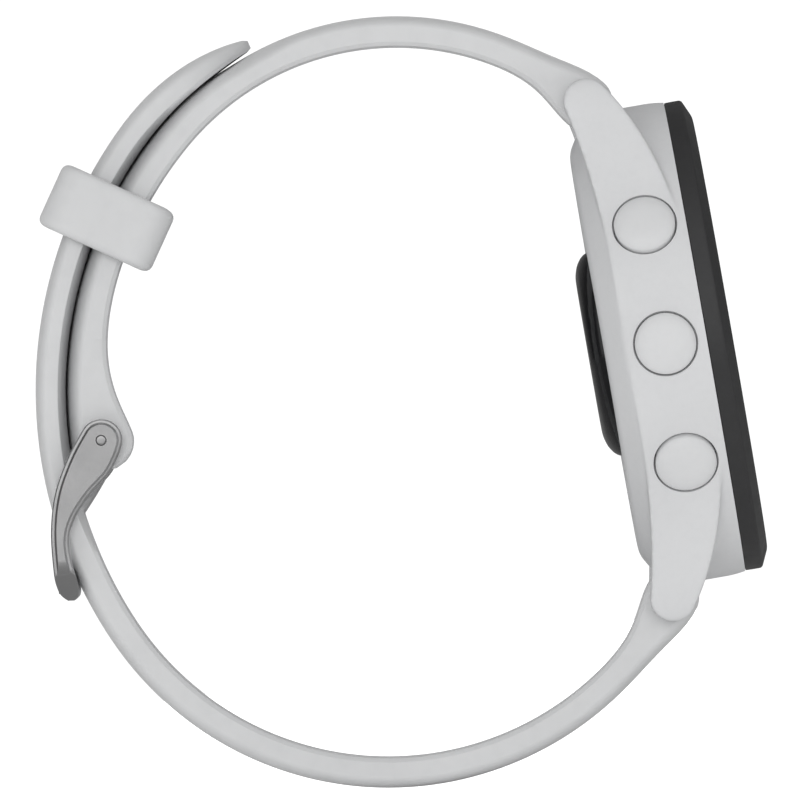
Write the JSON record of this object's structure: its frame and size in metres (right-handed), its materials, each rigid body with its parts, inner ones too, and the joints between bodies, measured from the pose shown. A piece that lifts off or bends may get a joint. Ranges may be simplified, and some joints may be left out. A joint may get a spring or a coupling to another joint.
{
  "type": "gps running watch",
  "caption": "Round running watch with side push buttons, a rear pulse sensor and a pin-buckled silicone band with a loose keeper, buckled closed.",
  "frame": {"origin": "centre of the flat rear face of the sensor window, which rests on the wrist", "axes": "+Y out of the back of the case into the wrist, -Y out of the display, +Z to 12 o'clock, +X to 3 o'clock"},
  "size_m": [0.0434, 0.0625, 0.0679],
  "materials": {
    "case_white": "fine satin moulded polymer, white",
    "button_white": "satin moulded polymer, white",
    "band_silicone": "soft matt silicone rubber, white",
    "black_polymer": "satin fibre reinforced polymer, black",
    "lens_glass": "polished chemically strengthened glass",
    "sensor_glass": "polished black infrared window",
    "display": "reflective display, switched off",
    "seal_rubber": "black seal rubber",
    "circuit_board": "green solder mask",
    "battery_foil": "laminated pouch foil",
    "gold_plate": "gold plate",
    "buckle_steel": "bead-blasted stainless steel",
    "tinned_steel": "tinned sheet steel",
    "small_steel": "turned stainless steel"
  },
  "bodies": {
    "case": {"case_body": "case_white", "tail_strap": "band_silicone", "back_cover": "case_white", "buckle_strap": "band_silicone", "bezel": "black_polymer", "sensor_window": "sensor_glass", "upper_spring_bar": "small_steel", "lower_spring_bar": "small_steel", "inner_chassis": "black_polymer", "lens_seal": "seal_rubber", "back_gasket": "seal_rubber", "charge_block": "black_polymer", "back_screw_1": "small_steel", "back_screw_2": "small_steel", "back_screw_3": "small_steel", "back_screw_4": "small_steel", "antenna_ring": "gold_plate", "lens": "lens_glass", "light_button_seal": "seal_rubber", "up_button_seal": "seal_rubber", "down_button_seal": "seal_rubber", "start_button_seal": "seal_rubber", "back_button_seal": "seal_rubber", "display_panel": "display", "main_board": "circuit_board", "sensor_board": "circuit_board", "vibration_motor": "small_steel", "buzzer": "gold_plate", "light_switch": "tinned_steel", "up_switch": "tinned_steel", "down_switch": "tinned_steel", "start_switch": "tinned_steel", "back_switch": "tinned_steel", "battery": "battery_foil", "charge_contact_1": "gold_plate", "charge_contact_2": "gold_plate", "charge_contact_3": "gold_plate", "charge_contact_4": "gold_plate", "shield_can": "tinned_steel"},
    "light_button_body": {"light_button": "button_white", "light_button_clip": "small_steel"},
    "up_button_body": {"up_button": "button_white", "up_button_clip": "small_steel"},
    "down_button_body": {"down_button": "button_white", "down_button_clip": "small_steel"},
    "start_button_body": {"start_button": "button_white", "start_button_clip": "small_steel"},
    "back_button_body": {"back_button": "button_white", "back_button_clip": "small_steel"},
    "upper_release": {"upper_release_tip": "small_steel"},
    "lower_release": {"lower_release_tip": "small_steel"},
    "keeper_body": {"keeper": "band_silicone"},
    "buckle": {"buckle_frame": "buckle_steel", "buckle_pin": "buckle_steel"},
    "tongue": {"buckle_tongue": "buckle_steel"}
  },
  "joints": [
    {"name": "light_press", "type": "slide", "parent": "case", "child": "light_button_body", "axis": [0.866, 0, -0.5], "range_m": [0, 0.0006], "stiffness_N_per_m": 3000, "springref_m": -0.0002},
    {"name": "up_press", "type": "slide", "parent": "case", "child": "up_button_body", "axis": [1, 0, 0], "range_m": [0, 0.0006], "stiffness_N_per_m": 3000, "springref_m": -0.0002},
    {"name": "down_press", "type": "slide", "parent": "case", "child": "down_button_body", "axis": [0.866, 0, 0.5], "range_m": [0, 0.0006], "stiffness_N_per_m": 3000, "springref_m": -0.0002},
    {"name": "start_press", "type": "slide", "parent": "case", "child": "start_button_body", "axis": [-0.866, 0, -0.5], "range_m": [0, 0.0006], "stiffness_N_per_m": 3000, "springref_m": -0.0002},
    {"name": "back_press", "type": "slide", "parent": "case", "child": "back_button_body", "axis": [-0.866, 0, 0.5], "range_m": [0, 0.0006], "stiffness_N_per_m": 3000, "springref_m": -0.0002},
    {"name": "upper_release_slide", "type": "slide", "parent": "case", "child": "upper_release", "axis": [-1, 0, 0], "range_m": [0, 0.0013], "stiffness_N_per_m": 800, "springref_m": -0.0005},
    {"name": "lower_release_slide", "type": "slide", "parent": "case", "child": "lower_release", "axis": [-1, 0, 0], "range_m": [0, 0.0013], "stiffness_N_per_m": 800, "springref_m": -0.0005},
    {"name": "keeper_slide", "type": "hinge", "parent": "case", "child": "keeper_body", "pos_m": [0, 0.00956, -0.0013], "axis": [1, 0, 0], "range_deg": [-9, 4]},
    {"name": "buckle_lift", "type": "hinge", "parent": "case", "child": "buckle", "pos_m": [0, 0.04369, 0.00016], "axis": [1, 0, 0], "range_deg": [0, 3]},
    {"name": "tongue_lift", "type": "hinge", "parent": "case", "child": "tongue", "pos_m": [0, 0.04369, 0.00016], "axis": [1, 0, 0], "range_deg": [0, 3]}
  ],
  "couplings": [
    {"joint": "tongue_lift", "follows": "buckle_lift", "ratio": 1}
  ]
}
